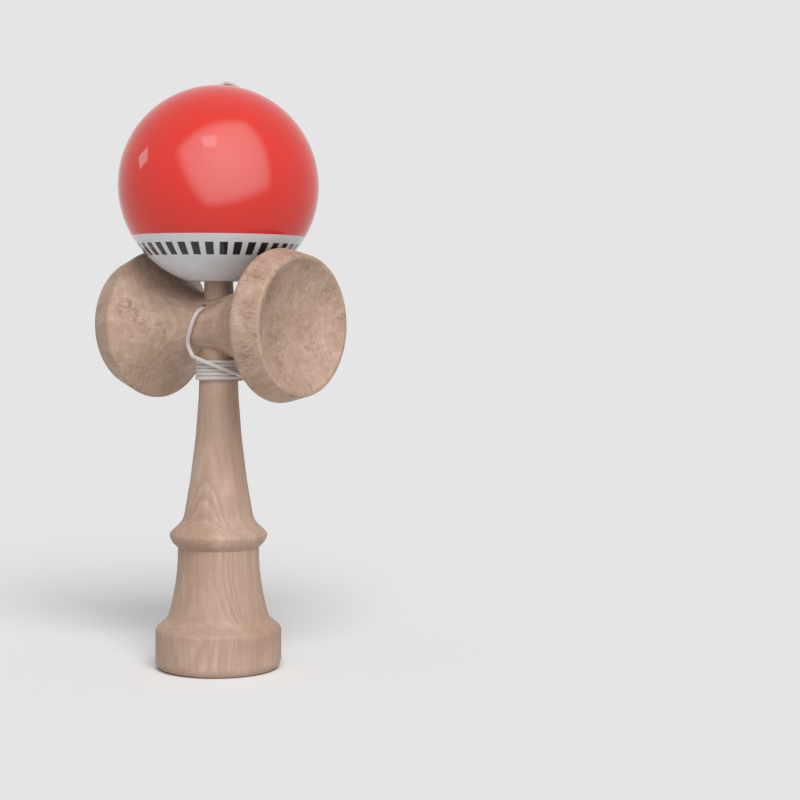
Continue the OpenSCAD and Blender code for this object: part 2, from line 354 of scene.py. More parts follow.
def lathe(name, points, closed=False):
    """Object of a half outline turned about the Z axis."""
    shape = bmesh.new()
    turn = [math.tau * i / LATHE_STEPS for i in range(LATHE_STEPS)]
    rows = []
    for radius, height in points:
        angles = turn if radius > ON_AXIS else turn[:1]
        rows.append([shape.verts.new((radius * math.cos(a), radius * math.sin(a), height)) for a in angles])
    if closed:
        rows.append(rows[0])
    for low, high in zip(rows, rows[1:]):
        for i in range(LATHE_STEPS):
            j = (i + 1) % LATHE_STEPS
            corners = [low[i % len(low)], low[j % len(low)], high[j % len(high)], high[i % len(high)]]
            shape.faces.new(list(dict.fromkeys(corners)))
    bmesh.ops.recalc_face_normals(shape, faces=shape.faces)
    mesh = bpy.data.meshes.new(name)
    shape.to_mesh(mesh)
    shape.free()
    return link(name, mesh)


def drill(radius_low, low, radius_high, high, place):
    """Round cutter, a cylinder or a cone along Z, moved to its place."""
    cutter = lathe("drill", [(0, low), (radius_low, low), (radius_high, high), (0, high)])
    cutter.data.transform(place)
    return cutter


def settle(piece):
    """Applies the piece's modifiers."""
    graph = bpy.context.evaluated_depsgraph_get()
    piece.data = bpy.data.meshes.new_from_object(piece.evaluated_get(graph))
    piece.modifiers.clear()


def cut(piece, drills):
    """Takes the drills out of the piece."""
    for tool in drills:
        hole = piece.modifiers.new("hole", "BOOLEAN")
        hole.operation = "DIFFERENCE"
        hole.solver = "EXACT"
        hole.object = tool
    settle(piece)
    for tool in drills:
        bpy.data.objects.remove(tool)


def polish(piece, *materials):
    """Smooth shading that keeps true corners, and the piece's materials."""
    piece.data.shade_smooth()
    piece.data.set_sharp_from_angle(angle=SHARP)
    even = piece.modifiers.new("even", "WEIGHTED_NORMAL")
    even.keep_sharp = True
    settle(piece)
    piece.data.materials.clear()
    for material in materials:
        piece.data.materials.append(material)


def ken_outline(edge):
    """Half outline of the handle, from the base cup to the tip of the spike."""
    band_top_z = RING_TOP_Z - RING_TOP_H
    band_low_z = band_top_z - RING_BAND_H
    foot_bow = -FOOT_ROUND * (1 - math.sqrt(0.5))
    tip_bow = -TIP_R * (1 - math.sqrt(0.5))
    cup_mid = (0, BASE_DISH_R - math.sqrt(BASE_DISH_R ** 2 - BASE_CUP_R ** 2))
    cup_rim = (BASE_CUP_R, 0)
    return outline([
        (*cup_mid, 0, bow(cup_mid, cup_rim, BASE_DISH_R)),
        (*cup_rim, edge / 2, 0),
        (FOOT_R - FOOT_ROUND, 0, 0, foot_bow),
        (FOOT_R, FOOT_ROUND, 0, 0),
        (FOOT_R, FOOT_H, 2 * edge, 0),
        (BASE_R, FOOT_H + FOOT_SLOPE_H, 3 * edge, BASE_HOLLOW),
        (NECK_R, band_low_z - RING_UNDER_H, edge / 4, 0),
        (RING_R - RING_DRAW, band_low_z, 3 * edge, 0),
        (RING_R, band_top_z, edge, -RING_CROWN),
        (HANDLE_R, RING_TOP_Z, 5 * edge, HANDLE_HOLLOW),
        (SHANK_R, SEAT_Z, 0, 0),
        (TIP_R, TAPER_TOP_Z, 0, tip_bow),
        (0, KEN_HIGH.z, 0, 0),
    ])


def sarado_outline(edge):
    """Half outline of the cross-piece, from the small cup to the big one, along its own length."""
    small_cup_r = SMALL_RIM_R - LIP_W
    big_cup_r = BIG_RIM_R - LIP_W
    small_mid = (0, -RIM_X + DISH_R - math.sqrt(DISH_R ** 2 - small_cup_r ** 2))
    big_mid = (0, RIM_X - DISH_R + math.sqrt(DISH_R ** 2 - big_cup_r ** 2))
    small_lip = (small_cup_r, -RIM_X)
    big_lip = (big_cup_r, RIM_X)
    return outline([
        (*small_mid, 0, bow(small_mid, small_lip, DISH_R)),
        (*small_lip, edge / 2, 0),
        (SMALL_RIM_R, -RIM_X, edge, 0),
        (SHOULDER_R, -SHOULDER_X, 3 * edge, SHOULDER_R - WAIST_R),
        (SHOULDER_R, SHOULDER_X, 3 * edge, 0),
        (BIG_RIM_R, RIM_X, edge, 0),
        (*big_lip, edge / 2, bow(big_lip, big_mid, DISH_R)),
        (*big_mid, 0, 0),
    ])


def tama_outline(edge):
    """Closed half outline of the ball, with its spike hole and the string hole in its top."""
    top_r = TOP_HOLE_R + TOP_CHAMFER
    mouth = (MOUTH_R, MOUTH_Z)
    top = (top_r, TAMA_Z + math.sqrt(TAMA_R ** 2 - top_r ** 2))
    return outline([
        (*mouth, edge, -bow(mouth, top, TAMA_R)),
        (*top, edge, 0),
        (TOP_HOLE_R, TAMA_HIGH.z - TOP_CHAMFER, edge, 0),
        (TOP_HOLE_R, BORE_TOP_Z, edge, 0),
        (BORE_R, BORE_TOP_Z, 2 * edge, 0),
        (BORE_R, MOUTH_Z + MOUTH_R - BORE_R, edge, 0),
    ], closed=True)


def string_drill():
    """Cutter of the string hole, from the middle of the handle out through the front of the cross-piece."""
    return drill(HOLE_R, -RECESS_Y - SEAT_GAP, HOLE_R, 2 * WAIST_R,
                 Matrix.Translation((0, 0, HOLE_Z)) @ Matrix.Rotation(math.pi / 2, 4, "X"))


def knot_drill():
    """Cutter of the recess for the knot, open to the back of the handle."""
    return drill(RECESS_R, RECESS_Y, RECESS_R, 2 * WAIST_R,
                 Matrix.Translation((0, 0, HOLE_Z)) @ Matrix.Rotation(-math.pi / 2, 4, "X"))


def shank_drill():
    """Cutter of the tapered hole that jams on the shank."""
    def shank_r(z):
        share = (z - SEAT_Z) / (TAPER_TOP_Z - SEAT_Z)
        return SHANK_R + (TIP_R - SHANK_R) * share + SEAT_GAP

    low, high = SARADO_LOW.z, SARADO_HIGH.z
    return drill(shank_r(low), low, shank_r(high), high, Matrix())


# String

RING_STEP = 0.3 * MM
TUBE_SIDES = 18
CARRIERS = 6
BRAID_RELIEF = 0.16
SMOOTH_STEPS = 12
RELAX_ROUNDS = 60
# A knot's string is pulled thinner than the rest
KNOT_PULL = 0.85
YARN = "yarn"


def smooth_route(points):
    """Points close together on the smooth curve through the given points."""
    ends = [points[0] * 2 - points[1], *points, points[-1] * 2 - points[-2]]
    line = []
    for a, b, c, d in zip(ends, ends[1:], ends[2:], ends[3:]):
        line += interpolate_bezier(b, b + (c - a) / 6, c - (d - b) / 6, c, SMOOTH_STEPS)[:-1]
    return [*line, points[-1]]


def spaced(line, step):
    """Points about a step apart along a line of points."""
    lengths = [0]
    for a, b in zip(line, line[1:]):
        lengths.append(lengths[-1] + (b - a).length)
    count = round(lengths[-1] / step)
    points = []
    i = 0
    for k in range(count):
        want = lengths[-1] * k / count
        while lengths[i + 1] < want:
            i += 1
        points.append(line[i].lerp(line[i + 1], (want - lengths[i]) / (lengths[i + 1] - lengths[i])))
    return [*points, line[-1]]


def relaxed(points, count):
    """The points with the first count of them evened out, apart from the first one itself."""
    eased = list(points)
    for _ in range(RELAX_ROUNDS):
        eased[1:count] = [(a + b * 2 + c) / 4 for a, b, c in zip(eased, eased[1:], eased[2:count + 1])]
    return eased


def length_of(points):
    """Length of a line of points."""
    return sum((b - a).length for a, b in zip(points, points[1:]))


def braid(name, points, thickness, pick):
    """Tube of braided yarn along the points, with the diamonds of the braid in relief. Each of its
    corners also carries its place on the same cord laid straight along Z."""
    last = len(points) - 1
    side = (points[1] - points[0]).orthogonal()
    corners, straight = [], []
    run = 0
    for i, spot in enumerate(points):
        along = (points[min(i + 1, last)] - points[max(i - 1, 0)]).normalized()
        side = (side - along * side.dot(along)).normalized()
        across = along.cross(side)
        run += (spot - points[max(i - 1, 0)]).length
        twist = math.pi * run / pick
        for k in range(TUBE_SIDES):
            angle = math.tau * k / TUBE_SIDES
            lean = angle * CARRIERS / 2
            crown = math.sqrt(abs(math.cos(lean + twist) * math.cos(lean - twist)))
            radius = thickness / 2 * (1 - BRAID_RELIEF * (1 - crown))
            x, y = radius * math.cos(angle), radius * math.sin(angle)
            corners.append(spot + side * x + across * y)
            straight.append((x, y, run))
    faces = [list(range(TUBE_SIDES))[::-1], list(range(last * TUBE_SIDES, len(corners)))]
    for i in range(last):
        for k in range(TUBE_SIDES):
            j = (k + 1) % TUBE_SIDES
            a, b = i * TUBE_SIDES, (i + 1) * TUBE_SIDES
            faces.append([a + k, a + j, b + j, b + k])
    mesh = bpy.data.meshes.new(name)
    mesh.from_pydata(corners, [], faces)
    mesh.shade_smooth()
    laid = mesh.attributes.new(YARN, "FLOAT_VECTOR", "POINT")
    laid.data.foreach_set("vector", [c for corner in straight for c in corner])
    return link(name, mesh)


def wound_points(string, handle):
    """Points of the string from its knot in the handle, through the loop and round the winding."""
    def climb(angle):
        return string.low_turn + string.pitch * (angle - TUCK_END) / 360

    points = [Vector((0, ANCHOR_LOW.y, HOLE_Z)), *(Vector(p) * MM for p in LOOP_POINTS)]
    for angle in range(CROSS_START, LEAVE + 360 * string.turns + 1, TURN_STEP):
        height = climb(angle)
        lift = 0
        if angle < CROSS_END:
            share = (CROSS_END - angle) / (CROSS_END - CROSS_START)
            low = climb(CROSS_END + 360)
            height = low + (CROSS_TOP_Z - low) * share ** CROSS_FALL
            lift = 1 + START_LIFT * max(0, 2 * share - 1) ** 2
        elif angle < TUCK_END:
            # It rolls down over the turn above and in under it
            lift = (1 + math.cos(math.pi * (angle - CROSS_END) / (TUCK_END - CROSS_END))) / 2
            height = climb(angle + 360) - string.pitch * math.sqrt(1 - lift ** 2)
        radius = radius_at(handle, height) + string.diameter * (1 / 2 + NEST * lift)
        turned = math.radians(angle)
        points.append(Vector((radius * math.cos(turned), radius * math.sin(turned), height)))
    return points


def knot_points(size, height):
    """Points of an overhand knot of that width and height about the origin, drawn as a trefoil."""
    count = 90
    points = []
    for i in range(count + 1):
        t = math.tau * i / count
        x = math.sin(t) + 2 * math.sin(2 * t)
        y = math.cos(t) - 2 * math.cos(2 * t)
        points.append(Vector((x * size / 6, y * size / 6, -math.sin(3 * t) * height / 2)))
    return points


# Materials

# Places of a colour mix's share, its two colours and its result among the node's sockets
MIX, MIX_A, MIX_B, MIX_OUT = 0, 6, 7, 2
# Light that the thickest red and white lacquer keep, and how much light the painted shade in the hollows of
# the yarn keeps
DEEP_RED, DEEP_WHITE, YARN_HOLLOW_SHADE = 0.7, 0.8, 0.55
# Half the width of the edge that masking leaves
MASK_EDGE = 0.05 * MM
# Where a bar starts and is full, from the middle of a gap at 0 to the middle of a bar at a half
BAR_START, BAR_FULL = 0.2, 0.22


def add(tree, kind, inputs, **settings):
    """Adds a shader node of that kind with its settings, and gives its outputs. Each input is a value, or
    the output to link to it."""
    node = tree.nodes.new("ShaderNode" + kind)
    for name, value in settings.items():
        setattr(node, name, value)
    for name, value in inputs.items():
        if isinstance(value, bpy.types.NodeSocket):
            tree.links.new(value, node.inputs[name])
        else:
            node.inputs[name].default_value = value
    return node.outputs


def blank_material(name):
    """A new material and its empty node tree."""
    material = bpy.data.materials.new(name)
    material.use_nodes = True
    material.node_tree.nodes.clear()
    return material, material.node_tree


def cells(across, along):
    """Scale of a pattern whose cells have that size across the grain and along it."""
    return (1 / across, 1 / across, 1 / along)


def opaque(colour):
    """The colour with full opacity."""
    return (*colour, 1)


def bare_beech(name, light, dark, fleck, turn, pith, lean, ring_width, ring_share, ray_share, speck, figure):
    """Beech, turned and fine-sanded, with no finish. The eye sees soft darker year rings, cut by the turning
    into arches and stripes, short brown ray flecks, fine fibre along the grain and a dull sheen.
    The rings lie round the pith and lean to the grain, the figure is the length of the streaks, and the
    shares and the speck say how strongly rings, flecks and specks show."""
    material, tree = blank_material(name)
    place = add(tree, "TexCoord", {})["Object"]
    # The wood's own axes: the grain along Z and the pith at the middle
    grain = add(tree, "Mapping", {
        "Vector": place, "Rotation": turn, "Location": [-c for c in pith]})["Vector"]
    # Slow sway of the rings by up to 1.6 mm, over about 24 mm across the grain and 60 mm along it
    sway_place = add(tree, "VectorMath", {0: grain, 1: cells(24 * MM, 60 * MM)}, operation="MULTIPLY")[0]
    sway = add(tree, "TexNoise", {"Vector": sway_place, "Scale": 1, "Detail": 1})["Fac"]
    axes = add(tree, "SeparateXYZ", {"Vector": grain})
    flat = add(tree, "CombineXYZ", {"X": axes["X"], "Y": axes["Y"]})[0]
    reach = add(tree, "VectorMath", {0: flat}, operation="LENGTH")["Value"]
    leant = add(tree, "Math", {0: axes["Z"], 1: lean, 2: reach}, operation="MULTIPLY_ADD")[0]
    swayed = add(tree, "Math", {0: sway, 1: 1.6 * MM, 2: leant}, operation="MULTIPLY_ADD")[0]
    year = add(tree, "Math", {0: swayed, 1: ring_width}, operation="DIVIDE")[0]
    # Wide and narrow years: each line is moved by up to 1.6 years
    uneven = add(tree, "TexNoise", {"W": year, "Scale": 0.45, "Detail": 1}, noise_dimensions="1D")["Fac"]
    years = add(tree, "Math", {0: uneven, 1: 1.6, 2: year}, operation="MULTIPLY_ADD")[0]
    season = add(tree, "Math", {0: years}, operation="FRACT")[0]
    # The wood darkens slowly through the year and ends in a line
    late = add(tree, "MapRange", {
        "Value": season, "From Min": 0.1, "From Max": 0.75}, interpolation_type="SMOOTHSTEP")[0]
    spring = add(tree, "MapRange", {
        "Value": season, "From Min": 0.75, "From Max": 1}, interpolation_type="SMOOTHSTEP")[0]
    ring = add(tree, "Math", {0: late, 1: spring}, operation="SUBTRACT")[0]
    # Some years are strongly marked and some hardly
    marked = add(tree, "TexNoise", {"W": years, "Scale": 0.3, "Detail": 0}, noise_dimensions="1D")["Fac"]
    mark = add(tree, "MapRange", {
        "Value": marked, "From Min": 0.3, "From Max": 0.7, "To Min": 0.3 * ring_share,
        "To Max": ring_share})[0]
    line = add(tree, "Math", {0: ring, 1: mark}, operation="MULTIPLY")[0]
    # Patches a little warmer and darker, a third as wide as the figure is long
    patch = add(tree, "TexNoise", {
        "Vector": grain, "Scale": 3 / figure, "Detail": 4, "Distortion": 0.6})["Fac"]
    patch_share = add(tree, "MapRange", {
        "Value": patch, "From Min": 0.4, "From Max": 0.7, "To Max": 0.6})[0]
    # Streaks about 1.8 mm wide and as long as the figure
    streak_place = add(tree, "VectorMath", {
        0: grain, 1: cells(1.8 * MM, figure)}, operation="MULTIPLY")[0]
    streak = add(tree, "TexNoise", {
        "Vector": streak_place, "Scale": 1, "Detail": 3, "Distortion": 0.4})["Fac"]
    streak_share = add(tree, "MapRange", {
        "Value": streak, "From Min": 0.4, "From Max": 0.7, "To Max": 0.5})[0]
    # Fibre, drawn coarser than it is so that it shows: about 0.35 mm wide and 9 mm long
    fibre_place = add(tree, "VectorMath", {
        0: grain, 1: cells(0.35 * MM, 9 * MM)}, operation="MULTIPLY")[0]
    fibre = add(tree, "TexNoise", {"Vector": fibre_place, "Scale": 1, "Detail": 3})["Fac"]
    fibre_share = add(tree, "MapRange", {
        "Value": fibre, "From Min": 0.35, "From Max": 0.75, "To Max": 0.4})[0]
    # Ray flecks, one in each cell of 1.6 mm across by 6 mm along
    ray_place = add(tree, "VectorMath", {0: grain, 1: cells(1.6 * MM, 6 * MM)}, operation="MULTIPLY")[0]
    ray = add(tree, "TexVoronoi", {"Vector": ray_place, "Scale": 1})["Distance"]
    dash = add(tree, "MapRange", {
        "Value": ray, "From Min": 0.12, "From Max": 0.22, "To Min": ray_share, "To Max": 0})[0]
    # Clusters of irregular brown specks: 1.2 mm across, 2 mm along the grain, in patches of 8 mm
    speck_place = add(tree, "VectorMath", {
        0: grain, 1: cells(1.2 * MM, 2 * MM)}, operation="MULTIPLY")[0]
    specks = add(tree, "TexNoise", {
        "Vector": speck_place, "Scale": 1, "Detail": 4, "Roughness": 0.65, "Distortion": 1})["Fac"]
    cluster = add(tree, "TexNoise", {"Vector": grain, "Scale": 1 / (8 * MM), "Detail": 1})["Fac"]
    bias = add(tree, "Math", {0: cluster, 1: 0.6, 2: specks}, operation="MULTIPLY_ADD")[0]
    speck_share = add(tree, "MapRange", {
        "Value": bias, "From Min": 0.87, "From Max": 1.05, "To Max": speck})[0]
    # The layers of colour, one over the other
    colour = opaque(light)
    for share, tone in ((line, dark), (patch_share, dark), (streak_share, dark), (fibre_share, dark),
                        (dash, fleck), (speck_share, fleck)):
        colour = add(tree, "Mix", {MIX: share, MIX_A: colour, MIX_B: opaque(tone)},
                     data_type="RGBA")[MIX_OUT]
    dull = add(tree, "MapRange", {
        "Value": fibre, "From Min": 0.3, "From Max": 0.7, "To Min": 0.5, "To Max": 0.66})[0]
    pore = add(tree, "Math", {0: dash, 1: -0.6, 2: fibre}, operation="MULTIPLY_ADD")[0]
    relief = add(tree, "Bump", {"Height": pore, "Strength": 0.35, "Distance": 0.06 * MM})["Normal"]
    skin = add(tree, "BsdfPrincipled", {
        "Base Color": colour, "Roughness": dull, "Normal": relief, "IOR": 1.5, "Specular IOR Level": 0.35})
    add(tree, "OutputMaterial", {"Surface": skin[0]})
    return material


def gloss_lacquer(lacquer):
    """Sprayed gloss lacquer on wood, masked at a line, in red above and white below. The eye sees deep even
    colour, sharp reflections with the faint ripple of a sprayed coat, and a printed ring of plain bars."""
    material, tree = blank_material("gloss_lacquer")
    place = add(tree, "TexCoord", {})["Object"]
    axes = add(tree, "SeparateXYZ", {"Vector": place})
    line_z = TAMA_Z - lacquer.red_drop
    above = add(tree, "MapRange", {
        "Value": axes["Z"], "From Min": line_z - MASK_EDGE, "From Max": line_z + MASK_EDGE})[0]
    # Pigment that lies a little thicker here and there, over about 25 mm
    pigment = add(tree, "TexNoise", {"Vector": place, "Scale": 1 / (25 * MM), "Detail": 3})["Fac"]
    deep = add(tree, "MapRange", {"Value": pigment, "From Min": 0.3, "From Max": 0.7, "To Max": 0.18})[0]
    red, white = (add(tree, "Mix", {
        MIX: deep, MIX_A: opaque(coat), MIX_B: opaque([c * kept for c in coat])}, data_type="RGBA")[MIX_OUT]
        for coat, kept in ((lacquer.red, DEEP_RED), (lacquer.white, DEEP_WHITE)))
    coats = add(tree, "Mix", {MIX: above, MIX_A: white, MIX_B: red}, data_type="RGBA")[MIX_OUT]
    # Bars round the white coat, with gaps a little narrower than the bars
    angle = add(tree, "Math", {0: axes["Y"], 1: axes["X"]}, operation="ARCTAN2")[0]
    bar_count = add(tree, "Math", {0: angle, 1: lacquer.bars / math.tau}, operation="MULTIPLY")[0]
    bar_place = add(tree, "Math", {0: bar_count, 1: 0.5}, operation="PINGPONG")[0]
    across = add(tree, "MapRange", {"Value": bar_place, "From Min": BAR_START, "From Max": BAR_FULL})[0]
    drop = add(tree, "Math", {0: axes["Z"], 1: TAMA_Z - lacquer.bar_drop}, operation="SUBTRACT")[0]
    apart = add(tree, "Math", {0: drop}, operation="ABSOLUTE")[0]
    half = lacquer.bar_height / 2
    upright = add(tree, "MapRange", {
        "Value": apart, "From Min": half - MASK_EDGE, "From Max": half + MASK_EDGE,
        "To Min": 1, "To Max": 0})[0]
    bar = add(tree, "Math", {0: across, 1: upright}, operation="MULTIPLY")[0]
    colour = add(tree, "Mix", {MIX: bar, MIX_A: coats, MIX_B: opaque(lacquer.black)},
                 data_type="RGBA")[MIX_OUT]
    # Ripple of the sprayed coat, 1.4 mm from crest to crest, and fine rub marks in the gloss
    ripple = add(tree, "TexNoise", {"Vector": place, "Scale": 1 / (1.4 * MM), "Detail": 1})["Fac"]
    relief = add(tree, "Bump", {"Height": ripple, "Strength": 0.05, "Distance": 0.02 * MM})["Normal"]
    rub = add(tree, "TexNoise", {"Vector": place, "Scale": 1 / (6 * MM), "Detail": 5})["Fac"]
    gloss = add(tree, "MapRange", {
        "Value": rub, "From Min": 0.35, "From Max": 0.75, "To Min": 0.06, "To Max": 0.11})[0]
    skin = add(tree, "BsdfPrincipled", {
        "Base Color": colour, "Roughness": gloss, "Normal": relief, "IOR": 1.5})
    add(tree, "OutputMaterial", {"Surface": skin[0]})
    return material


def braided_nylon(string):
    """Braided nylon string. The eye sees off-white yarn with a faint silky sheen, painted shade between the
    strands, and fine filaments."""
    material, tree = blank_material("braided_nylon")
    laid = add(tree, "Attribute", {}, attribute_name=YARN)["Vector"]
    axes = add(tree, "SeparateXYZ", {"Vector": laid})
    flat = add(tree, "CombineXYZ", {"X": axes["X"], "Y": axes["Y"]})[0]
    reach = add(tree, "VectorMath", {0: flat}, operation="LENGTH")["Value"]
    full = string.diameter / 2
    # Painted shade in the hollows between the strands, where the braid's relief dips
    hollow_shade = add(tree, "MapRange", {
        "Value": reach, "From Min": full * (1 - BRAID_RELIEF), "From Max": full,
        "To Min": 0.7, "To Max": 0})[0]
    # Filaments, drawn coarser than they are so that they show: 0.12 mm wide and 1.2 mm long
    filament_place = add(tree, "VectorMath", {
        0: laid, 1: cells(0.12 * MM, 1.2 * MM)}, operation="MULTIPLY")[0]
    filament = add(tree, "TexNoise", {"Vector": filament_place, "Scale": 1, "Detail": 2})["Fac"]
    # Colour of the painted shade in the hollows, also used for the darker filaments
    hollow_shade_and_filament = [c * YARN_HOLLOW_SHADE for c in string.colour]
    yarn = add(tree, "Mix", {MIX: hollow_shade, MIX_A: opaque(string.colour), MIX_B: opaque(hollow_shade_and_filament)},
               data_type="RGBA")[MIX_OUT]
    thin = add(tree, "MapRange", {
        "Value": filament, "From Min": 0.4, "From Max": 0.8, "To Max": 0.35})[0]
    colour = add(tree, "Mix", {MIX: thin, MIX_A: yarn, MIX_B: opaque(hollow_shade_and_filament)}, data_type="RGBA")[MIX_OUT]
    relief = add(tree, "Bump", {"Height": filament, "Strength": 0.4, "Distance": 0.05 * MM})["Normal"]
    skin = add(tree, "BsdfPrincipled", {
        "Base Color": colour, "Roughness": 0.6, "Normal": relief, "IOR": 1.53, "Sheen Weight": 0.2})
    add(tree, "OutputMaterial", {"Surface": skin[0]})
    return material


def matt_paper(stage):
    """Matt white background paper. The eye sees a plain pale floor that keeps the shadow."""
    material, tree = blank_material("matt_paper")
    place = add(tree, "TexCoord", {})["Object"]
    # Fibre of the paper, drawn coarser than it is so that it shows: 0.8 mm
    fibre = add(tree, "TexNoise", {"Vector": place, "Scale": 1 / (0.8 * MM), "Detail": 2})["Fac"]
    dull = add(tree, "MapRange", {"Value": fibre, "To Min": 0.85, "To Max": 1})[0]
    skin = add(tree, "BsdfPrincipled", {
        "Base Color": opaque(stage.floor), "Roughness": dull, "Specular IOR Level": 0})
    add(tree, "OutputMaterial", {"Surface": skin[0]})
    return material


# Operators

GRAIN_UP = (0, 0, 0)
GRAIN_ALONG_X = (0, math.radians(-90), 0)
NEAR_CLIP = 10 * MM
FLOOR_REACH = 60
# The floor lies a hair under the base, so that the two don't flicker
FLOOR_DROP = 0.02 * MM
KEY_UP = math.radians(43)
KEY_TURN = math.radians(8)
KEY_AWAY = 1.5
KEY_SPREAD = math.radians(35)
# Half of a card, and how far from its middle it starts to fade out, as shares of its size
CARD_HALF = 0.5
CARD_PLAIN = 0.28
# How bright a card is at the middle of an edge, before it fades out, against its own middle
CARD_DIM = 0.5
# The ball's cards add less red, which the lacquer has anyway, so their reflections look milky
CARD_TINT = (0.45, 1, 1)
PLAIN_CARD = "plain_card"
BIG_CARD = "big_card"


class KENDAMA_OT_stage(bpy.types.Operator):
    """Sets the camera, the floor, the lamps and the world"""

    bl_idname = "kendama.stage"
    bl_label = "Stage"

    def execute(self, context):
        stage = context.scene.kendama.stage
        context.scene.view_settings.view_transform = "Standard"
        self.camera(context, stage)
        self.floor(stage)
        self.world(context, stage)
        key = self.lamp("key", "SUN", stage.azimuth + KEY_TURN, KEY_UP, KEY_AWAY)
        key.data.energy = stage.sun
        key.data.angle = KEY_SPREAD
        key.visible_glossy = False
        # Cards that only show as reflections, the plain one in the wood and the others in the ball: angles
        # from the camera, up and about their middle, distance, size and brightness
        for name, turn, up, roll, away, size, bright in (
                (PLAIN_CARD, 8, 24, 20, 0.2, (0.5, 0.48), 3.1),
                (BIG_CARD, 8, 24, 20, 0.2, (0.5, 0.48), 4.1),
                ("top_card", -12, 43, 14, 0.16, (0.036, 0.034), 2.4),
                ("side_card", -101, 20, 45, 1, (0.21, 0.21), 2.6)):
            card = self.lamp(name, "AREA", stage.azimuth + math.radians(turn), math.radians(up), away)
            card.rotation_euler.rotate_axis("Z", math.radians(roll))
            card.data.shape = "RECTANGLE"
            card.data.size, card.data.size_y = size
            card.data.energy = bright * math.pi * size[0] * size[1]
            card.visible_diffuse = False
            if name != PLAIN_CARD:
                card.data.color = CARD_TINT
            if name in (PLAIN_CARD, BIG_CARD):
                self.fade(card.data)
        return {"FINISHED"}

    def camera(self, context, stage):
        """Sets the camera where the photograph was taken from."""
        lens = bpy.data.cameras.new("camera")
        lens.lens = stage.lens
        lens.clip_start = NEAR_CLIP
        camera = bpy.data.objects.new("camera", lens)
        context.scene.collection.objects.link(camera)
        camera.location = (stage.distance * math.sin(stage.azimuth),
                           -stage.distance * math.cos(stage.azimuth), stage.height)
        camera.rotation_euler = (math.pi / 2 - stage.tilt, stage.roll, stage.azimuth - stage.pan)
        context.scene.camera = camera

    def floor(self, stage):
        """Lays the floor under the toy."""
        mesh = bpy.data.meshes.new("floor")
        corners = [(-1, -1), (1, -1), (1, 1), (-1, 1)]
        mesh.from_pydata([(x * FLOOR_REACH, y * FLOOR_REACH, -FLOOR_DROP) for x, y in corners],
                         [], [(0, 1, 2, 3)])
        floor = link("floor", mesh)
        mesh.materials.append(matt_paper(stage))

    def lamp(self, name, kind, azimuth, up, away):
        """A lamp that the camera doesn't see, that far away from the ball and turned to it."""
        lamp = bpy.data.objects.new(name, bpy.data.lights.new(name, kind))
        bpy.context.scene.collection.objects.link(lamp)
        towards = Vector((
            math.sin(azimuth) * math.cos(up), -math.cos(azimuth) * math.cos(up), math.sin(up)))
        lamp.location = Vector((0, 0, TAMA_Z)) + towards * away
        lamp.rotation_euler = towards.to_track_quat("Z", "Y").to_euler()
        lamp.visible_camera = False
        return lamp

    def fade(self, light):
        """Dims the card from its middle out, and fades it at its edges."""
        light.use_nodes = True
        tree = light.node_tree
        tree.nodes.clear()
        across = add(tree, "NewGeometry", {})["Parametric"]
        from_middle = add(tree, "VectorMath", {0: across, 1: (CARD_HALF, CARD_HALF, 0)},
                          operation="SUBTRACT")[0]
        axes = add(tree, "SeparateXYZ", {"Vector": from_middle})
        flat = add(tree, "CombineXYZ", {"X": axes["X"], "Y": axes["Y"]})[0]
        reach = add(tree, "VectorMath", {0: flat}, operation="LENGTH")["Value"]
        dome = add(tree, "MapRange", {
            "Value": reach, "From Max": CARD_HALF, "To Min": 1, "To Max": CARD_DIM})[0]
        shares = []
        for axis in ("X", "Y"):
            apart = add(tree, "Math", {0: axes[axis]}, operation="ABSOLUTE")[0]
            shares.append(add(tree, "MapRange", {
                "Value": apart, "From Min": CARD_PLAIN, "From Max": CARD_HALF, "To Min": 1, "To Max": 0},
                interpolation_type="SMOOTHSTEP")[0])
        share = add(tree, "Math", dict(enumerate(shares)), operation="MULTIPLY")[0]
        domed = add(tree, "Math", {0: share, 1: dome}, operation="MULTIPLY")[0]
        glow = add(tree, "Emission", {"Strength": domed})
        add(tree, "OutputLight", {"Surface": glow[0]})

    def world(self, context, stage):
        """Sets even light all round."""
        world = bpy.data.worlds.new("studio")
        world.use_nodes = True
        tree = world.node_tree
        tree.nodes.clear()
        path = add(tree, "LightPath", {})
        seen = add(tree, "Math", {0: path["Is Camera Ray"], 1: path["Is Glossy Ray"]},
                   operation="MAXIMUM")[0]
        shown = add(tree, "Math", {0: seen, 1: path["Is Transmission Ray"]}, operation="MAXIMUM")[0]
        # Where the sky is seen it is as bright as the lit floor, so no horizon shows
        floor_light = stage.floor[0] * (stage.sun * math.sin(KEY_UP) / math.pi + stage.sky)
        strength = add(tree, "MapRange", {"Value": shown, "To Min": stage.sky, "To Max": floor_light})[0]
        sky = add(tree, "Background", {"Color": (1, 1, 1, 1), "Strength": strength})
        add(tree, "OutputWorld", {"Surface": sky[0]})
        context.scene.world = world


